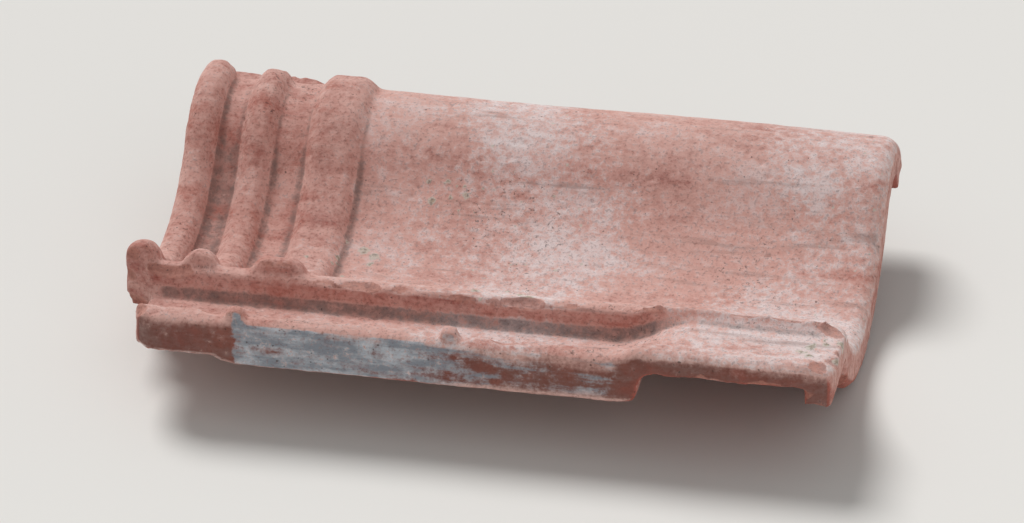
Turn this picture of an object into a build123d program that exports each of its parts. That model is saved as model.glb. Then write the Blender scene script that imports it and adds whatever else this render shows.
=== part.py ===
# Interlocking clay pantile, one fired piece.
# Head at -X, tail at +X, weather face up. Channel edge at -Y, cover roll at +Y.
# The origin is the middle of the footprint on the floor the tile rests on.
from math import acos, atan2, cos, degrees, radians, sin, sqrt
import os

from build123d import *

# overall sizes, mm
length = 355.0
wall = 11.0
foot = 12.0  # nib and tail lip stand this far below the trough
head_x = -length / 2
tail_x = length / 2

# cover roll
crown_y = 85.8
crown_z = 72.0
roll_radius = 41.0  # weather face
skirt_angle = 17.0  # the skirt stops this many degrees above the horizontal
skirt_edge = 3.0
roll_centre = (crown_y, crown_z - roll_radius)

# trough, one arc up to the roll and a tighter one up to the channel
roll_side_radius = 75.0
rim_side_radius = 68.0
shoulder_radius = 14.0

# channel edge
rim_y = -125.0
rim_z = 57.0
rim_width = 11.0
rim_height = 25.0
rim_edge = 2.5
channel_inner_y = -79.0
channel_depth = 14.0
channel_floor_edge = 3.5
rim_start = 15.0  # the rim starts this far down from the head
rim_start_radius = 12.0
rim_head_end = head_x + 0.18 * length  # up to here the outer wall is shallower
rim_head_rise = 5.0
rim_head_run = 9.0
rim_head_width = 14.0

# lapping tail corner of the channel edge, a thinner sheet that steps up to pass over the next rim
corner_start = head_x + 0.715 * length
corner_top_start = corner_start - 6.0
corner_run = 16.0
corner_raise = 5.0
corner_sheet = 12.5
corner_channel_depth = 6.0
corner_channel_start = corner_start - 12.0
corner_channel_run = 45.0
corner_lip = 10.0
corner_lip_slope = 2.0

# tail
lip_length = 14.0
lip_round = 8.0
lip_edge = 3.5
tail_corner_radius = 7.0  # as seen from above
skirt_step_x = head_x + 0.865 * length
skirt_step = 3.0

# head lock, ribs as (distance from the head, width, height)
head_ribs = ((8.0, 16.0, 9.5), (37.0, 16.0, 7.5), (76.0, 26.0, 7.0))
rib_edge = 4.5
rib_root = 3.0  # a rib starts this far inside the wall
rib_end_y = 100.0
# underside ribs that drop between them in the lap, as (distance from the tail, width)
tail_rib_height = 5.0
tail_ribs = ((39.5, 11.0), (78.0, 16.0))

# head corner of the roll, lowered to take the lapping corner of the next tile
notch_length = 60.0
notch_y = 101.0
notch_depth = 12.0
notch_skirt = 4.0  # the skirt reaches this much further down beside the notch
notch_inner_radius = 8.0
notch_outer_radius = 3.0

# lugs on the rim, as distances from the head
rim_lugs = (0.185 * length, 0.48 * length)
lug_length = 8.0
lug_height = 5.0
lug_taper = 14.0

# hanging nib, and a low pad behind it
nib_x = head_x + 26.0
nib_width = 62.0
nib_thickness = 16.0
nib_foot = 13.0  # length along the tile where it touches the floor
nib_slant = 7.0
nib_corner = 5.0
nib_edge = 1.5
pad_x = head_x + 0.275 * length
pad_size = (18.0, 28.0, 4.0)
pad_slope = 25.0

# cuts run this far past the tile
past = 1.0
far_past = 20.0


def sideways(radius_a, radius_b, rise):
    # distance across between two touching arcs whose centres differ by rise
    return sqrt((radius_a + radius_b) ** 2 - rise**2)


roll_side_z = foot + wall + roll_side_radius
trough_y = crown_y - sideways(roll_radius, roll_side_radius, roll_side_z - roll_centre[1])
roll_side_centre = (trough_y, roll_side_z)
rim_side_centre = (trough_y, foot + wall + rim_side_radius)
shoulder_z = rim_z - shoulder_radius
shoulder_y = trough_y - sideways(rim_side_radius, shoulder_radius, rim_side_centre[1] - shoulder_z)
# angles at which the arcs touch, from the horizontal
roll_lean = degrees(acos((crown_y - trough_y) / (roll_radius + roll_side_radius)))
rim_lean = degrees(acos((trough_y - shoulder_y) / (rim_side_radius + shoulder_radius)))
skirt_y = crown_y + roll_radius * cos(radians(skirt_angle))
skirt_z = roll_centre[1] + roll_radius * sin(radians(skirt_angle))


def arc(centre, radius, start, end):
    return CenterArc(centre, radius, start, end - start)


def weather_lines(lift, start_angle):
    # the weather face from the roll across the trough to the top of the shoulder
    return [
        arc(roll_centre, roll_radius + lift, start_angle, 180 - roll_lean),
        arc(roll_side_centre, roll_side_radius - lift, -roll_lean, -90),
        arc(rim_side_centre, rim_side_radius - lift, -90, -180 + rim_lean),
        arc((shoulder_y, shoulder_z), shoulder_radius + lift, rim_lean, 90),
    ]


def under_lines(drop, start_angle, low_z):
    # the underside from the roll across the trough, up to the height low_z
    rim_radius = rim_side_radius + wall + drop
    stop_angle = -90 - degrees(acos((rim_side_centre[1] - low_z) / rim_radius))
    return [
        arc(roll_centre, roll_radius - wall - drop, start_angle, 180 - roll_lean),
        arc(roll_side_centre, roll_side_radius + wall + drop, -roll_lean, -90),
        arc(rim_side_centre, rim_radius, -90, stop_angle),
    ]


def tile_section(drop=0.0, low_z=rim_z - rim_height):
    # whole section, with its underside drop further down than the plain wall
    top = weather_lines(0, skirt_angle)
    under = under_lines(drop, skirt_angle, low_z)
    with BuildSketch(Plane.YZ) as section:
        with BuildLine():
            for line in top + under:
                add(line)
            Line(top[3] @ 1, (rim_y, rim_z))
            Line((rim_y, rim_z), (rim_y, low_z))
            Line((rim_y, low_z), under[2] @ 1)
            Line(under[0] @ 0, top[0] @ 0)
        make_face()
        chamfer(section.vertices().sort_by(Axis.X)[:2], rim_edge)
        chamfer(section.vertices().sort_by(Axis.X)[-2:], skirt_edge)
    return section.sketch


def across(side_face, y_low, y_high):
    # a side view drawn in XZ, pushed across the tile from y_low to y_high
    return Pos(0, y_high, 0) * extrude(side_face, y_high - y_low)


def s_step(x, z, run, rise):
    # two tangent arcs that carry a level line up by rise
    radius = (run**2 + rise**2) / (4 * abs(rise))
    turn = degrees(2 * atan2(rise, run))
    first = JernArc((x, z), (1, 0), radius, turn)
    second = JernArc(first @ 1, first % 1, radius, -turn)
    return first, second


def long_edges(edges, radii):
    # those edges that follow arcs of the given radii
    arcs = [e for e in edges if e.geom_type == GeomType.CIRCLE]
    return [e for e in arcs if min(abs(e.radius - r) for r in radii) < 0.01]


def tail_lip():
    # the tail turns down all along the wave
    section = tile_section(foot, rim_z + corner_raise - corner_sheet - corner_lip)
    lip = Pos(tail_x - lip_length, 0, 0) * extrude(section, lip_length)
    low_radii = (roll_radius - wall - foot, roll_side_radius + wall + foot, rim_side_radius + wall + foot)
    return chamfer(long_edges(lip.edges(), low_radii), lip_edge)


def corner_top():
    # the lapping corner stands a little above the rim and rounds over at the tail
    start_x = corner_top_start
    low_z = rim_z - rim_height + rim_edge
    high_z = rim_z + corner_raise
    with BuildSketch(Plane.XZ) as side:
        with BuildLine():
            first, second = s_step(start_x, rim_z, corner_run, corner_raise)
            Line(second @ 1, (tail_x - lip_round, high_z))
            RadiusArc((tail_x - lip_round, high_z), (tail_x, high_z - lip_round), lip_round)
            Polyline((tail_x, high_z - lip_round), (tail_x, low_z), (start_x, low_z), first @ 0)
        make_face()
    block = across(side.sketch, rim_y, shoulder_y)
    return chamfer(block.faces().sort_by(Axis.Z)[-1].edges().filter_by(Axis.X), rim_edge)


def blank():
    tile = Pos(head_x, 0, 0) * extrude(tile_section(), length) + tail_lip()
    end_edges = tile.faces().sort_by(Axis.X)[-1].edges()
    nose = long_edges(end_edges, (roll_radius, roll_side_radius, rim_side_radius))
    return fillet(nose, lip_round) + corner_top()


def channel_cut():
    # open at both ends, deep along the field and running out shallow over the lapping corner
    floor_z = rim_z - channel_depth
    tail_z = rim_z + corner_raise - corner_channel_depth
    top_z = rim_z + far_past
    low_x = head_x - past
    high_x = tail_x + past
    with BuildSketch(Plane.XZ) as side:
        with BuildLine():
            Line((low_x, floor_z), (corner_channel_start, floor_z))
            first, second = s_step(corner_channel_start, floor_z, corner_channel_run, tail_z - floor_z)
            Line(second @ 1, (high_x, tail_z))
            Polyline((high_x, tail_z), (high_x, top_z), (low_x, top_z), (low_x, floor_z))
        make_face()
    groove = across(side.sketch, rim_y + rim_width, channel_inner_y)
    low_edges = groove.edges().filter_by_position(Axis.Z, 0, tail_z + past)
    floor_edges = [e for e in low_edges if abs(e.tangent_at(0.5).X) > 0.5]
    return chamfer(floor_edges, channel_floor_edge)


def corner_cut():
    # the underside of the channel edge steps up near the tail
    low_z = rim_z - rim_height
    sheet_z = rim_z + corner_raise - corner_sheet
    lip_z = sheet_z - corner_lip
    lip_start = tail_x - lip_length
    high_x = tail_x + past
    bottom_z = low_z - far_past
    with BuildSketch(Plane.XZ) as side:
        with BuildLine():
            first, second = s_step(corner_start, low_z, corner_run, sheet_z - low_z)
            Line(second @ 1, (lip_start, sheet_z))
            Polyline((lip_start, sheet_z), (lip_start + corner_lip_slope, lip_z), (high_x, lip_z))
            Line((high_x, lip_z), (high_x, bottom_z))
            Polyline((high_x, bottom_z), (corner_start, bottom_z), first @ 0)
        make_face()
    return across(side.sketch, rim_y - past, channel_inner_y + 5)


def plan_corner_cut(y, side):
    # rounds a tail corner as seen from above; side is -1 for the channel edge and +1 for the roll
    radius = tail_corner_radius
    high_x = tail_x + past
    start = (tail_x - radius, y)
    end = (tail_x, y - side * radius)
    with BuildSketch() as plan:
        with BuildLine():
            RadiusArc(start, end, side * radius)
            Polyline(end, (high_x, end[1]), (high_x, y + side * past), (start[0], y + side * past), start)
        make_face()
    return extrude(plan.sketch, crown_z + far_past)


def wave_rib(top, inside, x, rib_width, radii):
    # a rib with sloping flanks that follows the wave
    with BuildSketch(Plane.YZ) as section:
        with BuildLine():
            for line in top + inside:
                add(line)
            Line(top[0] @ 0, inside[0] @ 0)
            Line(top[-1] @ 1, inside[-1] @ 1)
        make_face()
    rib = extrude(section.sketch, rib_width)
    return Pos(x - rib_width / 2, 0, 0) * chamfer(long_edges(rib.edges(), radii), rib_edge)


def head_rib(distance, rib_width, lift):
    end_angle = degrees(acos((rib_end_y - crown_y) / (roll_radius + lift)))
    radii = (roll_radius + lift, roll_side_radius - lift, rim_side_radius - lift, shoulder_radius + lift)
    top = weather_lines(lift, end_angle)
    inside = weather_lines(-rib_root, end_angle - 14)
    return wave_rib(top, inside, head_x + distance, rib_width, radii)


def tail_rib(distance, rib_width):
    drop = tail_rib_height
    low_z = rim_z - rim_height
    radii = (roll_radius - wall - drop, roll_side_radius + wall + drop, rim_side_radius + wall + drop)
    low = under_lines(drop, skirt_angle + 22, low_z)
    inside = under_lines(-rib_root, skirt_angle + 8, low_z)
    return wave_rib(low, inside, tail_x - distance, rib_width, radii)


def rim_lug(distance):
    middle = Pos(head_x + distance, rim_y + rim_width / 2 + 0.5, rim_z - past)
    lug = extrude(middle * Rectangle(lug_length + 2, rim_width - 2), lug_height + past, taper=lug_taper)
    return chamfer(lug.faces().sort_by(Axis.Z)[-1].edges(), 1)


def hanging_nib():
    # its face towards the tail is upright, to hook behind a batten
    hook_x = nib_x + nib_thickness / 2
    foot_x = hook_x - nib_foot
    root_z = foot + wall - rib_root
    with BuildSketch(Plane.XZ) as side:
        Polygon((hook_x, 0), (hook_x, root_z), (foot_x - nib_slant, root_z), (foot_x, 0), align=None)
    nib = across(side.sketch, trough_y - nib_width / 2, trough_y + nib_width / 2)
    nib = fillet(nib.faces().sort_by(Axis.X)[-1].edges().filter_by(Axis.Z), nib_corner)
    return chamfer(nib.faces().sort_by(Axis.Z)[0].edges(), nib_edge)


def under_pad():
    # low pad on the underside of the trough
    pad_length, pad_width, pad_height = pad_size
    base = Pos(pad_x, trough_y, foot - pad_height) * Rectangle(pad_length - 4, pad_width - 4)
    return extrude(base, pad_height + rib_root, taper=-pad_slope)


def head_corner_cut():
    # the rim starts a little way down from the head, with rounded corners
    start_x = head_x + rim_start
    low_x = head_x - past
    low_y = rim_y - past
    inner_y = channel_inner_y + 4
    outer = rim_start_radius
    inner = rim_start - 5
    with BuildSketch() as plan:
        with BuildLine():
            RadiusArc((start_x + outer, rim_y), (start_x, rim_y + outer), outer)
            Line((start_x, rim_y + outer), (start_x, inner_y - inner))
            RadiusArc((start_x, inner_y - inner), (start_x - inner, inner_y), -inner)
            Polyline((start_x - inner, inner_y), (low_x, inner_y), (low_x, low_y))
            Polyline((low_x, low_y), (start_x + outer, low_y), (start_x + outer, rim_y))
        make_face()
    return extrude(plan.sketch, crown_z + far_past)


def rim_head_cut():
    # the outer wall of the channel is shallower down to its first lug
    low_z = rim_z - rim_height
    low_x = head_x - past
    slope_x = rim_head_end - rim_head_run
    high_z = low_z + rim_head_rise
    with BuildSketch(Plane.XZ) as side:
        Polygon(
            (low_x, high_z),
            (slope_x, high_z),
            (rim_head_end, low_z),
            (rim_head_end, low_z - past),
            (low_x, low_z - past),
            align=None,
        )
    return across(side.sketch, rim_y - past, rim_y + rim_head_width)


def roll_notch_cut():
    # takes the crown off the outer side of the roll near the head
    notch_z = crown_z - notch_depth
    align = (Align.MIN, Align.MIN, Align.MIN)
    block = Box(notch_length + past, 2 * far_past, far_past, align=align)
    block = Pos(head_x - past, notch_y, notch_z) * block
    riser = block.edges().filter_by(Axis.Z).sort_by(Axis.X)[-2:]
    return fillet(riser.sort_by(Axis.Y)[0], notch_inner_radius)


def roll_notch_shoulder():
    # closes the roll beside the notch with a web, a level sheet and a skirt
    top_z = crown_z - notch_depth
    low_z = skirt_z - notch_skirt
    web_y = notch_y - wall
    with BuildSketch(Plane.YZ) as section:
        Polygon(
            (web_y, top_z + 6),
            (web_y, top_z - wall),
            (skirt_y - wall, top_z - wall),
            (skirt_y - wall, low_z),
            (skirt_y, low_z),
            (skirt_y, top_z + 6),
            align=None,
        )
        outer = section.vertices().sort_by(Axis.X)[-2:]
        fillet(outer.sort_by(Axis.Y)[0], notch_outer_radius)
    return Pos(head_x, 0, 0) * extrude(section.sketch, notch_length)


def skirt_cut():
    # the last stretch of the skirt is a little shallower
    inner_z = skirt_z - wall * sin(radians(skirt_angle))
    align = (Align.MIN, Align.MIN, Align.MAX)
    block = Box(tail_x - skirt_step_x + past, 2 * far_past, skirt_step + 10, align=align)
    return Pos(skirt_step_x, skirt_y - wall - 6, inner_z + skirt_step) * block


def build_tile():
    tile = blank()
    for distance, rib_width, rib_height in head_ribs:
        tile += head_rib(distance, rib_width, rib_height)
    for distance, rib_width in tail_ribs:
        tile += tail_rib(distance, rib_width)
    tile += roll_notch_shoulder()
    tile -= roll_notch_cut()
    tile -= channel_cut()
    tile -= corner_cut()
    tile -= head_corner_cut()
    tile -= rim_head_cut()
    tile -= plan_corner_cut(rim_y, -1)
    tile -= plan_corner_cut(skirt_y, 1)
    tile -= skirt_cut()
    for distance in rim_lugs:
        tile += rim_lug(distance)
    tile += hanging_nib()
    tile += under_pad()
    return tile


if __name__ == "__main__":
    os.makedirs("parts", exist_ok=True)
    tile = build_tile()
    tile.label = "roof_tile"
    export_step(tile, "parts/roof_tile.step")
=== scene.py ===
import math
import random

import bmesh
import bpy
import numpy as np
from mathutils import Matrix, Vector, kdtree, noise


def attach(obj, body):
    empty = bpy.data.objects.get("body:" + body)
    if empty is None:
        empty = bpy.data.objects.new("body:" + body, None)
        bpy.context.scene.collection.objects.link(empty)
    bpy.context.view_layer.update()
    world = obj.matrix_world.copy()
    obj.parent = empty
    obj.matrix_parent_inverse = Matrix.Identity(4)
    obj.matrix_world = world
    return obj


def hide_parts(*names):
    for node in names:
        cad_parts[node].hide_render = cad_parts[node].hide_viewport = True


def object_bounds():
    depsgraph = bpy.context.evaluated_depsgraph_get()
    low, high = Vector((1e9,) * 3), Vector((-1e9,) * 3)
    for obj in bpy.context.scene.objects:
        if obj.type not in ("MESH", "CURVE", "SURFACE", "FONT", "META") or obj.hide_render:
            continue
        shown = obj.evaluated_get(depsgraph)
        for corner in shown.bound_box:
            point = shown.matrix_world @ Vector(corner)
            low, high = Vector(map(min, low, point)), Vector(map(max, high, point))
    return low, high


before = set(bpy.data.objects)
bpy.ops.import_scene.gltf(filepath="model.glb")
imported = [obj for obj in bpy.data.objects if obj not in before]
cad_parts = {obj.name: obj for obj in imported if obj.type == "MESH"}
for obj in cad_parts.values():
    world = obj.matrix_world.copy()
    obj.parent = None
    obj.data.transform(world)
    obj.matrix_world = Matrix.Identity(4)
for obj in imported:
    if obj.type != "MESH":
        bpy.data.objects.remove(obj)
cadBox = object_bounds()
mm = 0.001

# The tile: what a user would change about its shape and wear, lengths in mm.
# The first of two limits is where something starts, the second where it is full.
tile = {
    "name": "roof_tile_clay",
    "node": "roof_tile",
    "body": "root",
    "slot": "fired_clay",
    "weld": 0.01,  # joins the doubled points of the CAD mesh
    "grid": 1.3,  # side of the remeshed squares that take the relief
    "triangles": 190000,  # thinned out to this many where the surface is plain
    "softenPasses": 1,  # rounds the moulded edges to about 1 mm
    # ribs, as shares of the length from the head and mm from the channel edge
    "ribPasses": 8,  # rounds the head and tail ribs more
    "ribEnds": (0.27, 0.74),  # head ribs lie before the first, tail ribs after the second
    "ribFade": 0.02,
    "ribSides": ((43, 49), (236, 230)),
    "lipFade": (0.95, 0.93),  # the tail lip keeps its edges
    "topFacing": (-0.5, -0.2),  # z of the surface normal
    "underFacing": (0.5, 0.2),
    # edges and hollows, as how far a point lies outside or inside the smoothed shape
    "edgePasses": 24,
    "wornFrom": (0.3, 1.1),
    "hollowPasses": 78,
    "hollowFrom": (0.25, 1.6),
    "creaseFrom": (0.25, 0.8),
    "zonePasses": 6,  # evens the normals out before the weathering goes by them
    # unevenness: how deep, and how long its waves are
    "warp": 0.8,  # bend from drying and firing
    "warpSpan": 150,
    "sway": 0.6,  # bend sideways, as a share of the warp
    "swaySpan": 90,
    "swayStretch": 0.2,
    "skin": 0.22,  # shallow unevenness of the pressed face
    "skinSpan": 12,
    "drag": 0.14,  # long ripples left along the clay strip by the extruder
    "dragSpan": 6,
    "dragStretch": 0.07,
    "raggedEdge": 1.0,  # how far worn edges wander
    "raggedSpan": 8,
    "raggedLift": 0.25,  # more of the edge is worn with more of this
    "pits": 900,
    "pitSize": (1.3, 3.0),
    "pitDepth": (0.3, 1.2),
    # chips are balls pressed into worn edges
    "chips": 110,
    "chipSize": (2.0, 8.0),
    "chipShrink": (0.5, 1.0),  # makes small ones more common
    "chipStretch": ((0.8, 2.8), (0.7, 1.3), (0.6, 1.1)),  # along x, y and z
    "chipBite": 0.42,  # share of a chip's radius that goes into the edge
    "chipRough": 0.16,  # share of the radius that its face goes in and out
    "chipRoughSpan": 2.6,
    "chipReach": 1.3,  # no point further off than this many radii can be in the chip
    "chipDepth": 0.5,  # a break this deep shows fresh clay
    "chipWorn": 0.75,  # only edges worn this much break
    "chipSoften": 3,  # wears the chips' own rims down
    "chipRim": 2,  # how far that reaches past them
    "lugWidth": 14,  # the rim's lugs, this near to the channel edge, stay whole
    "lugHeight": 57.5,  # above this
    # larger chips at places that show, as x, y and z in shares of the CAD box and a radius
    "bigChips": (
        (0.90, 0.985, 0.53, 8),
        (0.80, 0.84, 0.98, 9),
        (0.74, 0.985, 0.53, 8),
        (0.62, 0.99, 0.53, 7),
        (0.995, 0.42, 0.19, 9),
        (0.03, 0.02, 0.71, 7),
        (0.985, 0.02, 0.77, 7),
        (0.56, 0.0, 0.40, 7),
        (0.34, 0.045, 0.70, 6),
        (0.60, 0.045, 0.70, 8),
        (0.005, 0.62, 0.67, 9),
        (0.005, 0.30, 0.57, 7),
    ),
    "bigChipStretch": (1.3, 1.0, 0.8),
    # lichen grows in loose groups
    "lichenStart": 0.28,  # none under the lap, as a share of the length from the head
    "lichenFacing": 0.3,  # z of the surface normal that it needs
    "lichenGroups": 8,
    "lichensEach": 10,
    "lichenSpread": 11,
    "lichenSize": (1.4, 4.2),
    "lichenShrink": (0.4, 1.0),
    "lichenRagged": 0.7,
    "lichenRaggedSpan": 1.9,
    "lichenReach": 1.6,  # radii
    "lichenThickness": 0.3,
    "lichenEdge": (0.1, 0.6),
    "seed": 41,
}


def mixStep(low, high, value):
    # smooth 0 to 1 between low and high
    t = np.clip((value - low) / (high - low), 0, 1)
    return t * t * (3 - 2 * t)


def remeshNode(source, gridSize):
    # an even grid of small squares over the CAD node's shape, to take fine relief
    blank = bpy.data.objects.new("blank", source.data.copy())
    bpy.context.scene.collection.objects.link(blank)
    work = bmesh.new()
    work.from_mesh(blank.data)
    bmesh.ops.remove_doubles(work, verts=work.verts, dist=tile["weld"] * mm)
    work.to_mesh(blank.data)
    work.free()
    grid = blank.modifiers.new("grid", "REMESH")
    grid.mode = "VOXEL"
    grid.voxel_size = gridSize
    grid.adaptivity = 0
    deps = bpy.context.evaluated_depsgraph_get()
    mesh = bpy.data.meshes.new_from_object(blank.evaluated_get(deps))
    bpy.data.objects.remove(blank)
    mesh.materials.clear()
    return mesh


def readVertices(mesh, what):
    # what is "co" for the places or "normal" for the normals
    flat = np.zeros(len(mesh.vertices) * 3, np.float32)
    mesh.vertices.foreach_get(what, flat)
    return flat.reshape(-1, 3).astype(float)


def writePoints(mesh, points):
    mesh.vertices.foreach_set("co", points.astype(np.float32).ravel())
    mesh.update()


def readEdges(mesh):
    flat = np.zeros(len(mesh.edges) * 2, np.int32)
    mesh.edges.foreach_get("vertices", flat)
    return flat.reshape(-1, 2)


def placeOn(points):
    # share of the length from the head, and mm from the channel edge
    low, high = cadBox
    return (points[:, 0] - low[0]) / (high[0] - low[0]), (points[:, 1] - low[1]) / mm


def relax(values, edges, passes):
    # moves every point's values half way to the mean of its neighbours, again and again
    count = len(values)
    ends = np.bincount(edges.ravel(), minlength=count)[:, None]
    for _ in range(passes):
        total = np.stack([
            np.bincount(edges[:, 0], values[edges[:, 1], k], count)
            + np.bincount(edges[:, 1], values[edges[:, 0], k], count)
            for k in range(values.shape[1])
        ], axis=1)
        values = values + 0.5 * (total / ends - values)
    return values


def cloudAt(points, span, octaves, shift=0.0):
    # fractal noise of about -1 to 1 whose largest blobs are span mm across, and in which
    # each octave is twice as fine and half as strong
    scaled = points / (span * mm) + shift
    return np.array([noise.fractal(p, 1.0, 2.0, octaves) for p in scaled])


def ribShare(points, normals):
    # 1 on the face that carries the ribs, over the wave, and 0 elsewhere
    along, across = placeOn(points)
    headEnd, tailStart = tile["ribEnds"]
    nearSide, farSide = tile["ribSides"]
    wave = mixStep(*nearSide, across) * mixStep(*farSide, across)
    head = mixStep(headEnd, headEnd - tile["ribFade"], along) * mixStep(*tile["topFacing"], normals[:, 2])
    tail = mixStep(tailStart, tailStart + tile["ribFade"], along) * mixStep(*tile["lipFade"], along)
    tail *= mixStep(*tile["underFacing"], normals[:, 2])
    return wave * np.maximum(head, tail)


def findEdges(points, normals, edges):
    # how far each point stands out of, or lies in, the smoothed shape around it
    smoothed = relax(points, edges, tile["edgePasses"])
    outside = ((points - smoothed) * normals).sum(axis=1) / mm
    worn = mixStep(*tile["wornFrom"], outside)
    broad = relax(smoothed, edges, tile["hollowPasses"])
    inside = ((broad - points) * normals).sum(axis=1) / mm
    hollow = np.maximum(mixStep(*tile["hollowFrom"], inside), mixStep(*tile["creaseFrom"], -outside))
    return worn, hollow


def bendAndDrag(points, normals, worn):
    # uneven drying bends the whole sheet, both faces together, and the faces stay a little rough
    flat = points * np.array([1, 1, 0])
    points[:, 2] += tile["warp"] * mm * cloudAt(flat, tile["warpSpan"], 1)
    swayed = flat * np.array([1, tile["swayStretch"], 0])
    points[:, 1] += tile["sway"] * tile["warp"] * mm * cloudAt(swayed, tile["swaySpan"], 2, shift=7.3)
    points += normals * (tile["skin"] * mm * cloudAt(points, tile["skinSpan"], 3))[:, None]
    ripple = cloudAt(points * np.array([tile["dragStretch"], 1, 1]), tile["dragSpan"], 2, shift=5.7)
    points += normals * (tile["drag"] * mm * ripple)[:, None]
    ragged = np.clip(cloudAt(points, tile["raggedSpan"], 3, shift=3.1) + tile["raggedLift"], 0, 1)
    points -= normals * (tile["raggedEdge"] * mm * worn * ragged)[:, None]


def dentPits(points, normals, tree, rng):
    for _ in range(tile["pits"]):
        centre = rng.randrange(len(points))
        radius = rng.uniform(*tile["pitSize"]) * mm
        depth = rng.uniform(*tile["pitDepth"]) * mm
        for _, index, distance in tree.find_range(points[centre], radius):
            points[index] -= normals[index] * depth * (1 - (distance / radius) ** 2) ** 2


def biteChip(points, chipped, centre, stretch, radius):
    # pushes what lies inside a rough ball out to the ball's face, which leaves a shell-like break
    offset = (points - centre) / stretch
    distance = np.linalg.norm(offset, axis=1)
    near = np.nonzero(distance < radius * tile["chipReach"])[0]
    for index in near:
        bump = noise.noise(Vector(points[index] / (tile["chipRoughSpan"] * mm)))
        rough = radius * (1 + tile["chipRough"] * bump)
        if distance[index] < rough:
            moved = offset[index] / max(distance[index], 1e-6) * rough * stretch
            depth = (rough - distance[index]) / (tile["chipDepth"] * mm)
            chipped[index] = max(chipped[index], min(1, depth))
            points[index] = centre + moved


def breakEdges(points, normals, worn, rng):
    chipped = np.zeros(len(points))
    low, high = cadBox
    onLug = (points[:, 1] < low[1] + tile["lugWidth"] * mm) & (points[:, 2] > tile["lugHeight"] * mm)
    onLug &= points[:, 0] < 0  # the lugs are on the head half
    edgePoints = np.nonzero((worn > tile["chipWorn"]) & ~onLug)[0]
    for _ in range(tile["chips"]):
        at = edgePoints[rng.randrange(len(edgePoints))]
        radius = rng.uniform(*tile["chipSize"]) * rng.uniform(*tile["chipShrink"]) * mm
        stretch = np.array([rng.uniform(*pair) for pair in tile["chipStretch"]])
        centre = points[at] + normals[at] * radius * (1 - tile["chipBite"])
        biteChip(points, chipped, centre, stretch, radius)
    for *shares, size in tile["bigChips"]:
        aim = np.array([low[k] + (high[k] - low[k]) * share for k, share in enumerate(shares)])
        at = edgePoints[np.argmin(np.linalg.norm(points[edgePoints] - aim, axis=1))]
        radius = size * mm
        centre = points[at] + normals[at] * radius * (1 - tile["chipBite"])
        biteChip(points, chipped, centre, np.array(tile["bigChipStretch"]), radius)
    return chipped


def growLichen(points, normals, tree, rng):
    # thin ragged crusts on the faces that see the sky
    crust = np.zeros(len(points))
    lapEnd = cadBox[0][0] + tile["lichenStart"] * (cadBox[1][0] - cadBox[0][0])
    faceUp = np.nonzero((normals[:, 2] > tile["lichenFacing"]) & (points[:, 0] > lapEnd))[0]
    for _ in range(tile["lichenGroups"]):
        heart = points[faceUp[rng.randrange(len(faceUp))]]
        for _ in range(tile["lichensEach"]):
            aim = heart + np.array([rng.gauss(0, 1), rng.gauss(0, 1), 0]) * tile["lichenSpread"] * mm
            middle, at, _ = tree.find(aim)
            radius = rng.uniform(*tile["lichenSize"]) * rng.uniform(*tile["lichenShrink"]) * mm
            if normals[at][2] < tile["lichenFacing"]:
                continue
            for spot, index, distance in tree.find_range(middle, radius * tile["lichenReach"]):
                bump = noise.noise(spot / (tile["lichenRaggedSpan"] * mm))
                ragged = radius * (1 + tile["lichenRagged"] * bump)
                crust[index] = max(crust[index], 1 - (distance / ragged) ** 2)
    return crust


def treeOf(points):
    tree = kdtree.KDTree(len(points))
    for index, point in enumerate(points):
        tree.insert(point, index)
    tree.balance()
    return tree


def thinOut(mesh, triangles):
    # keeps the small squares where the surface turns and joins them where it is plain
    full = bpy.data.objects.new("full", mesh)
    bpy.context.scene.collection.objects.link(full)
    thin = full.modifiers.new("thin", "DECIMATE")
    thin.ratio = triangles / sum(len(face.vertices) - 2 for face in mesh.polygons)
    deps = bpy.context.evaluated_depsgraph_get()
    thinned = bpy.data.meshes.new_from_object(full.evaluated_get(deps))
    bpy.data.objects.remove(full)
    return thinned


# Weathering: where rain and lime leave their marks, and the painted highlight on faces that look up,
# each as the two limits of what it goes by, which is a share of the length from the head if nothing else
# is said
weathering = {
    "facingSky": (-0.3, 0.35),  # z of the surface normal, as in the next two
    "facingFloor": (0.1, -0.25),
    "facingSide": (-0.5, -0.15),
    "facingOut": (0.45, 0.8),  # minus y of the normal, so out of the channel edge
    "wallDepth": (7, 3),  # mm from the channel edge, so the outer wall alone
    # clouds that make the limits uneven: how much, span in mm, octaves and shift
    "wander": (0.022, 30, 4, 9.2),
    "drift": (0.1, 110, 4, 4.4),
    # algae specks, as span in mm, octaves and shift of their cloud, and the limits in it
    "speckCloud": (60, 3, 6.6),
    "speckStart": (-0.25, 0.45),
    # lime bloom and painted highlight on the weather face, thin on the head, which lies dry under the lap
    "lapEnd": (0.26, 0.20),
    "bloomStart": (0.22, 0.30),
    "lapBloom": 0.82,  # share of it on the head
    "sideBloom": 0.74,  # share of it on upright faces
    "limeStart": (0.12, 0.50),
    "limeEnd": (0.82, 0.54),
    "tailLime": (0.70, 0.84),
    "tailLimeMost": 0.94,
    # lime film on the outer wall, thick up to the middle
    "filmStart": (0.176, 0.186),
    "filmEnd": (0.735, 0.70),
    "filmThick": (0.56, 0.40),
    "filmThin": 0.72,
    # pale lime at the foot of the outer wall
    "footHeight": (41, 34),  # mm above the floor
    "footStart": (0.40, 0.50),
    # white deposit underneath, with a second band between the tail ribs
    "depositStart": (0.01, 0.07),
    "depositEnd": (0.78, 0.71),
    "bandStart": (0.80, 0.83),
    "bandEnd": (0.90, 0.86),
    "bandMost": 0.8,
    "wornUnderneath": 0.35,  # share of a worn edge's fresh clay that is left there under dirt
}


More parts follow.
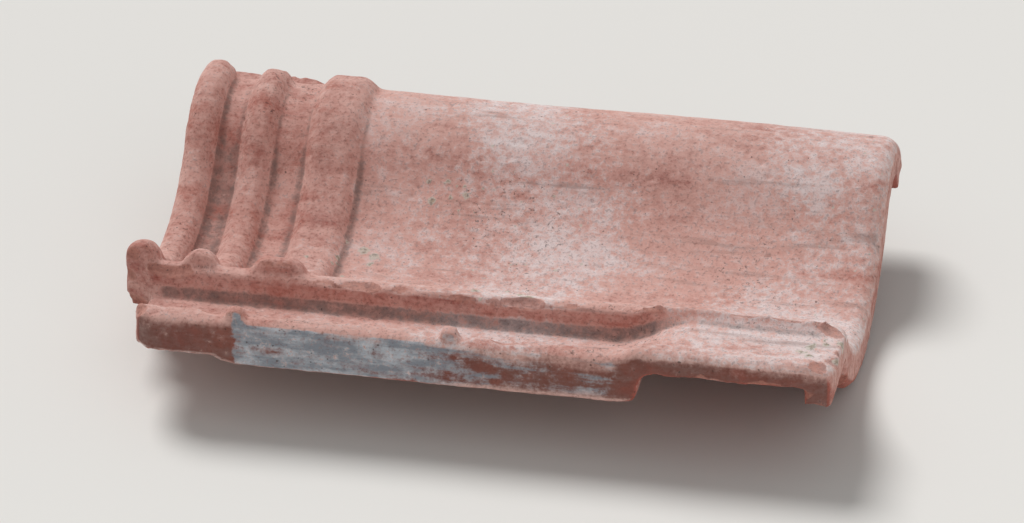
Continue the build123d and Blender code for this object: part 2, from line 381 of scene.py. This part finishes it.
def findZones(points, normals, worn):
    # how much of each kind of weathering every point has, with painted highlight in the bloom on faces
    # that look up
    def within(limits, value):
        return mixStep(*weathering[limits], value)

    along, across = placeOn(points)
    amount, span, octaves, shift = weathering["wander"]
    wander = along + amount * cloudAt(points, span, octaves, shift)
    amount, span, octaves, shift = weathering["drift"]
    drift = along + amount * cloudAt(points, span, octaves, shift)
    sky = within("facingSky", normals[:, 2])
    under = within("facingFloor", normals[:, 2])
    outerWall = within("facingOut", -normals[:, 1]) * within("wallDepth", across)

    covered = weathering["lapBloom"]
    # lime bloom and painted highlight on the faces that look up
    bloomAndHighlight = sky * (covered + (1 - covered) * within("bloomStart", wander))
    sideBloom = weathering["sideBloom"] * within("facingSide", normals[:, 2]) * (1 - outerWall)
    lime = within("limeStart", drift) * within("limeEnd", drift)
    tailLime = weathering["tailLimeMost"] * within("tailLime", drift)
    film = outerWall * within("filmStart", along) * within("filmEnd", wander)
    film *= weathering["filmThin"] + (1 - weathering["filmThin"]) * within("filmThick", wander)
    deposit = within("depositEnd", wander) * within("depositStart", wander)
    band = weathering["bandMost"] * within("bandStart", wander) * within("bandEnd", wander)
    dirty = weathering["wornUnderneath"]
    return {
        "specked": sky * within("speckStart", cloudAt(points, *weathering["speckCloud"])),
        "outerWall": outerWall,
        "film": film,
        "lap": sky * within("lapEnd", wander),
        "bloomAndHighlight": np.maximum(bloomAndHighlight, sideBloom),
        "lime": sky * np.maximum(lime, tailLime),
        "deposit": under * np.maximum(deposit, band),
        "wallFoot": outerWall * within("footHeight", points[:, 2] / mm) * within("footStart", wander),
        "worn": worn * (dirty + (1 - dirty) * sky),
    }


def makeTile():
    rng = random.Random(tile["seed"])
    mesh = remeshNode(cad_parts[tile["node"]], tile["grid"] * mm)
    edges = readEdges(mesh)
    points = relax(readVertices(mesh, "co"), edges, tile["softenPasses"])
    writePoints(mesh, points)
    share = ribShare(points, readVertices(mesh, "normal"))[:, None]
    points = points * (1 - share) + relax(points, edges, tile["ribPasses"]) * share
    writePoints(mesh, points)
    normals = readVertices(mesh, "normal")
    print("tile grid", len(points), "points")

    worn, hollow = findEdges(points, normals, edges)
    print("edges and hollows found")

    bendAndDrag(points, normals, worn)
    tree = treeOf(points)
    dentPits(points, normals, tree, rng)
    chipped = breakEdges(points, normals, worn, rng)
    torn = np.minimum(1, tile["chipRim"] * relax(chipped[:, None], edges, tile["chipSoften"]))
    points += (relax(points, edges, tile["chipSoften"]) - points) * torn
    crust = growLichen(points, normals, tree, rng)
    points += normals * (tile["lichenThickness"] * mm * mixStep(*tile["lichenEdge"], crust))[:, None]
    points = np.clip(points, np.array(cadBox[0]), np.array(cadBox[1]))
    writePoints(mesh, points)
    print("relief, chips and crusts made")

    zones = findZones(points, relax(normals, edges, tile["zonePasses"]), worn)
    zones.update({"hollow": hollow, "chipped": chipped, "crust": crust})
    thinned = thinOut(mesh, tile["triangles"])
    tree = treeOf(points)
    nearest = [tree.find(vertex.co)[1] for vertex in thinned.vertices]
    for name, values in zones.items():
        layer = thinned.attributes.new(name, "FLOAT", "POINT")
        layer.data.foreach_set("value", np.clip(values[nearest], 0, 1).astype(np.float32))
    for face in thinned.polygons:
        face.use_smooth = True
    piece = bpy.data.objects.new(tile["name"], thinned)
    bpy.context.scene.collection.objects.link(piece)
    print("thinned to", sum(len(face.vertices) - 2 for face in thinned.polygons), "triangles")
    return piece


def toLinear(hexColour):
    # sRGB hex to the linear colour that shaders take
    parts = [int(hexColour[i:i + 2], 16) / 255 for i in (1, 3, 5)]
    return [c / 12.92 if c <= 0.04045 else ((c + 0.055) / 1.055) ** 2.4 for c in parts] + [1]


def addNode(tree, kind, settings=None, links=None):
    # settings are the node's own, links are inputs: a socket to join, or a value to set
    node = tree.nodes.new(kind)
    for name, value in (settings or {}).items():
        setattr(node, name, value)
    for slot, value in (links or {}).items():
        if isinstance(value, bpy.types.NodeSocket):
            tree.links.new(value, node.inputs[slot])
        else:
            node.inputs[slot].default_value = value
    return node


def newMaterial(name):
    material = bpy.data.materials.new(name)
    material.use_nodes = True
    material.node_tree.nodes.clear()
    return material, material.node_tree


# Red roofing clay, pressed in a mould and fired once without glaze: a matt open skin of
# baked sand and clay, brick red where clean, bleached pink by lime bloom where rain reaches it,
# and painted paler on the faces that look up as painted highlight
clay = {
    "red": "#A15347",
    "orange": "#B96C5C",
    "dark": "#784239",
    # painted shade: the outer wall's darker red-brown
    "wallShade": "#764A40",
    "mauve": "#957770",
    # lime bloom's pale pink, also painted highlight on the faces that look up
    "bloomAndHighlight": "#E6BBB0",
    "lime": "#EFE3E2",
    "film": "#C6CCD3",
    "filmDark": "#868B94",
    # dark grime, which also paints shade into the hollows
    "grimeAndShade": "#4B3A35",
    "algae": "#413832",
    "fresh": "#C48878",
    "deposit": "#D6B8B0",
    "crust": "#D2CDC1",
    "crustDark": "#9D998E",
    "ochre": "#B8986B",
    "roughness": 0.9,
    "roughnessSpread": (-0.08, 0.06),  # from the hollows between sand grains to their tops
    "grainSpread": (0.3, 0.7),
    "diffuseRoughness": 0.6,  # a dry open skin looks flat and dusty
    "ior": 1.5,
    # clouds, as size in mm, detail, roughness, stretch along x, and a shift that keeps them apart
    "clouds": {
        "drift": (70, 3, 0.55, 1, 0.0),  # colour drift from the kiln
        "patch": (34, 5, 0.62, 0.6, 0.37),  # where the face dries last
        "blotch": (16, 5, 0.62, 1, 0.74),  # flashing from the flame
        "runs": (7, 4, 0.6, 0.09, 1.48),  # stains that rain leaves down the tile
        "streak": (5, 5, 0.65, 0.2, 1.85),  # lime carried along by water
        "mottle": (4.5, 5, 0.68, 1, 2.22),  # lime flakes, 4 to 5 mm
        "lines": (2.4, 3, 0.6, 0.05, 2.59),  # left along the clay strip by the extruder
        "fleck": (2.1, 3, 0.7, 1, 2.96),  # algae colonies, about 2 mm
        "grain": (1.5, 2, 0.6, 1, 3.33),  # sand grain is about 0.4 mm, drawn coarser so that it shows
    },
    # specks, as spacing in mm and how much their size varies
    "specks": {
        "iron": (3.1, 0.45),  # iron spots melted out in the kiln
        "grog": (4.4, 0.6),  # crushed fired clay mixed in before pressing
        "dots": (5.2, 0.42),  # grains of lime
    },
    "speckStir": (1.8, 2.0, 1.6),  # makes their outlines ragged: span, detail and reach in mm
    # sums of clouds, as parts and their weights
    "sums": {
        "cover": (("patch", 0.4), ("runs", 0.25), ("mottle", 0.35)),
        "scale": (("patch", 0.35), ("mottle", 0.40), ("grain", 0.25)),
        "coat": (("blotch", 0.30), ("streak", 0.40), ("mottle", 0.30)),
        "ragged": (("mottle", 0.6), ("grain", 0.4)),
    },
    # layers from the bare clay up: colour, zone, pattern and its weight, then the values of
    # zone plus pattern where the layer starts and where it covers most, and how much that is
    "layers": (
        ("orange", None, "drift", 1.0, 0.38, 0.62, 0.85),
        ("dark", None, "blotch", 1.0, 0.50, 0.72, 0.55),
        # painted shade: the outer wall is darkened to red-brown, as on the side that faces away from the
        # light
        ("wallShade", "outerWall", "blotch", 0.8, 0.95, 1.45, 0.85),
        ("orange", "lap", "mottle", 0.8, 1.10, 1.55, 0.6),
        ("dark", None, "mottle", 1.0, 0.52, 0.74, 0.45),
        ("dark", None, "lines", 1.0, 0.54, 0.72, 0.35),
        ("mauve", "outerWall", "coat", 2.4, 1.95, 2.55, 0.75),
        # lime bloom and painted highlight: the faces that look up are washed pale pink
        ("bloomAndHighlight", "bloomAndHighlight", "cover", 2.2, 1.50, 2.14, 0.9),
        ("lime", "bloomAndHighlight", "scale", 3.0, 2.40, 2.85, 0.55),
        ("lime", "lime", "scale", 2.6, 2.02, 2.56, 0.85),
        ("mauve", "bloomAndHighlight", "runs", 1.8, 1.98, 2.30, 0.45),
        ("deposit", "deposit", "coat", 2.4, 1.80, 2.50, 0.85),
        ("lime", "deposit", "scale", 3.0, 2.42, 2.85, 0.5),
        ("film", "film", "coat", 2.2, 1.78, 2.18, 0.95),
        ("filmDark", "film", "streak", 2.6, 2.05, 2.55, 0.85),
        ("lime", "film", "ragged", 2.2, 2.10, 2.50, 0.55),
        ("bloomAndHighlight", "wallFoot", "coat", 1.6, 1.50, 1.90, 0.85),
        ("bloomAndHighlight", "outerWall", "ragged", 2.0, 2.12, 2.40, 0.6),
        ("fresh", "worn", "mottle", 2.4, 2.00, 2.60, 0.6),
        ("fresh", "chipped", "blotch", 1.0, 0.90, 1.50, 0.65),
        ("dark", "chipped", "mottle", 2.0, 1.85, 2.30, 0.35),
        ("crust", "crust", "ragged", 1.4, 0.85, 1.20, 0.75),
        ("ochre", "crust", "drift", 1.0, 1.15, 1.35, 0.5),
        ("crustDark", "crust", "grain", 1.5, 1.35, 1.60, 0.5),
        ("crust", "lime", "dots", -1.0, 0.68, 0.78, 0.75),
        # grime and painted shade: the hollows and creases are darkened
        ("grimeAndShade", "hollow", "mottle", 1.6, 1.30, 2.10, 0.65),
        ("algae", "specked", "fleck", 2.0, 2.16, 2.42, 0.75),
        ("grimeAndShade", None, "iron", 1.0, 0.24, 0.14, 0.7),
        ("bloomAndHighlight", None, "grog", 1.0, 0.24, 0.12, 0.55),
        ("dark", None, "grain", 1.0, 0.50, 0.72, 0.4),
    ),
    # relief too fine for the mesh, as strength and height in mm
    "relief": {"mottle": (0.9, 0.6), "lines": (0.6, 0.3), "grain": (0.9, 0.35)},
}


def makeClay():
    material, tree = newMaterial("PressedFiredRedClay")
    place = addNode(tree, "ShaderNodeTexCoord").outputs["Object"]
    pattern = {}
    for name, (span, detail, rough, stretch, shift) in clay["clouds"].items():
        spread = addNode(tree, "ShaderNodeMapping", {}, {
            "Vector": place, "Location": (shift, shift, shift), "Scale": (stretch, 1, 1)})
        pattern[name] = addNode(tree, "ShaderNodeTexNoise", {}, {
            "Vector": spread.outputs[0], "Scale": 1 / (span * mm), "Detail": detail,
            "Roughness": rough}).outputs["Fac"]
    for name, parts in clay["sums"].items():
        total = 0.0
        for part, weight in parts:
            total = addNode(tree, "ShaderNodeMath", {"operation": "MULTIPLY_ADD"}, {
                0: pattern[part], 1: weight, 2: total}).outputs[0]
        pattern[name] = total

    span, detail, reach = clay["speckStir"]
    stir = addNode(tree, "ShaderNodeTexNoise", {}, {
        "Vector": place, "Scale": 1 / (span * mm), "Detail": detail})
    shaken = addNode(tree, "ShaderNodeVectorMath", {"operation": "MULTIPLY_ADD"}, {
        0: stir.outputs["Color"], 1: [reach * mm] * 3, 2: place})
    for name, (spacing, spread) in clay["specks"].items():
        cells = addNode(tree, "ShaderNodeTexVoronoi", {}, {
            "Vector": shaken.outputs[0], "Scale": 1 / (spacing * mm)})
        pattern[name] = addNode(tree, "ShaderNodeMath", {"operation": "MULTIPLY_ADD"}, {
            0: cells.outputs["Color"], 1: spread, 2: cells.outputs["Distance"]}).outputs[0]

    zone = {}
    body = toLinear(clay["red"])
    for colour, zoneName, patternName, weight, low, high, most in clay["layers"]:
        if zoneName and zoneName not in zone:
            zone[zoneName] = addNode(tree, "ShaderNodeAttribute", {
                "attribute_name": zoneName}).outputs["Fac"]
        amount = addNode(tree, "ShaderNodeMath", {"operation": "MULTIPLY_ADD"}, {
            0: pattern[patternName], 1: weight, 2: zone.get(zoneName, 0.0)})
        share = addNode(tree, "ShaderNodeMapRange", {"interpolation_type": "SMOOTHSTEP"}, {
            "Value": amount.outputs[0], "From Min": low, "From Max": high, "To Min": 0.0, "To Max": most})
        # a colour Mix has its factor at 0 and its two colours at 6 and 7
        body = addNode(tree, "ShaderNodeMix", {"data_type": "RGBA"}, {
            0: share.outputs[0], 6: body, 7: toLinear(clay[colour])}).outputs[2]

    shape = None
    for name, (strength, height) in clay["relief"].items():
        links = {"Strength": strength, "Distance": height * mm, "Height": pattern[name]}
        if shape:
            links["Normal"] = shape
        shape = addNode(tree, "ShaderNodeBump", {}, links).outputs[0]
    low, high = clay["grainSpread"]
    smoother, rougher = clay["roughnessSpread"]
    rough = addNode(tree, "ShaderNodeMapRange", {}, {
        "Value": pattern["grain"], "From Min": low, "From Max": high,
        "To Min": clay["roughness"] + smoother, "To Max": clay["roughness"] + rougher})
    shader = addNode(tree, "ShaderNodeBsdfPrincipled", {}, {
        "Base Color": body, "Roughness": rough.outputs[0], "IOR": clay["ior"],
        "Diffuse Roughness": clay["diffuseRoughness"], "Normal": shape})
    addNode(tree, "ShaderNodeOutputMaterial", {}, {"Surface": shader.outputs[0]})
    return material


# Studio: a pale floor, a pale world, broad light from behind and a weak fill from the front
studio = {
    "floorColour": "#E3E1DD",
    "floorSize": 40.0,
    "worldColour": "#E3E1DD",
    "worldLight": 0.36,
    "skyFrom": (-0.75, 0.75, 1.5),
    "skyLight": 2.3,
    "skySpread": 26,  # degrees, softens the shadow's edge
    "fillFrom": (0.9, -1.5, 0.9),
    "fillSize": 1.4,
    "fillLight": 4,
}


def makeFloor():
    half = studio["floorSize"] / 2
    corners = [(-half, -half, 0), (half, -half, 0), (half, half, 0), (-half, half, 0)]
    mesh = bpy.data.meshes.new("floor")
    mesh.from_pydata(corners, [], [(0, 1, 2, 3)])
    floor = bpy.data.objects.new("floor", mesh)
    bpy.context.scene.collection.objects.link(floor)
    # rolled matt paint: no shine at all, so only the tile's shadow lies on it
    material, tree = newMaterial("PaleMattFloor")
    shader = addNode(tree, "ShaderNodeBsdfPrincipled", {}, {
        "Base Color": toLinear(studio["floorColour"]), "Roughness": 1.0, "Specular IOR Level": 0.0})
    addNode(tree, "ShaderNodeOutputMaterial", {}, {"Surface": shader.outputs[0]})
    mesh.materials.append(material)


def makeWorld():
    # white light on the tile, and the plain pale colour where the camera or a gloss sees it
    world = bpy.data.worlds.new("studio")
    bpy.context.scene.world = world
    world.use_nodes = True
    tree = world.node_tree
    tree.nodes.clear()
    path = addNode(tree, "ShaderNodeLightPath")
    seen = path.outputs["Is Camera Ray"]
    for ray in ("Is Glossy Ray", "Is Transmission Ray"):
        seen = addNode(tree, "ShaderNodeMath", {"operation": "MAXIMUM"}, {
            0: seen, 1: path.outputs[ray]}).outputs[0]
    light = addNode(tree, "ShaderNodeBackground", {}, {
        "Color": (1, 1, 1, 1), "Strength": studio["worldLight"]})
    shown = addNode(tree, "ShaderNodeBackground", {}, {
        "Color": toLinear(studio["worldColour"]), "Strength": 1.0})
    both = addNode(tree, "ShaderNodeMixShader", {}, {
        0: seen, 1: light.outputs[0], 2: shown.outputs[0]})
    addNode(tree, "ShaderNodeOutputWorld", {}, {"Surface": both.outputs[0]})


def makeLamps():
    sky = bpy.data.lights.new("skyLamp", "SUN")
    sky.energy = studio["skyLight"]
    sky.angle = math.radians(studio["skySpread"])
    fill = bpy.data.lights.new("fillLamp", "AREA")
    fill.energy = studio["fillLight"]
    fill.size = studio["fillSize"]
    for data, spot in ((sky, studio["skyFrom"]), (fill, studio["fillFrom"])):
        lamp = bpy.data.objects.new(data.name, data)
        lamp.location = spot
        lamp.rotation_euler = Vector(spot).to_track_quat("Z", "Y").to_euler()
        bpy.context.scene.collection.objects.link(lamp)


# Camera: from the channel side and a little towards the tail, down on the weather face
viewer = {
    "azimuth": 11.0,
    "elevation": 29.0,
    "distance": 3.2,
    "lens": 228.0,
    "clipEnd": 60.0,
    "aim": (0.0, 0.0, 0.034),
}


def makeCamera():
    data = bpy.data.cameras.new("viewer")
    data.lens = viewer["lens"]
    data.clip_end = viewer["clipEnd"]
    camera = bpy.data.objects.new("viewer", data)
    turn = math.radians(viewer["azimuth"])
    rise = math.radians(viewer["elevation"])
    back = Vector((math.sin(turn) * math.cos(rise), -math.cos(turn) * math.cos(rise), math.sin(rise)))
    camera.location = Vector(viewer["aim"]) + back * viewer["distance"]
    camera.rotation_euler = back.to_track_quat("Z", "Y").to_euler()
    bpy.context.scene.collection.objects.link(camera)
    bpy.context.scene.camera = camera


clayTile = makeTile()
clayTile.data.materials.append(makeClay())
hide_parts(tile["node"])
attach(clayTile, tile["body"])
print("tile made")

makeFloor()
makeWorld()
makeLamps()
makeCamera()
bpy.context.scene.view_settings.view_transform = "Standard"
print("studio made")
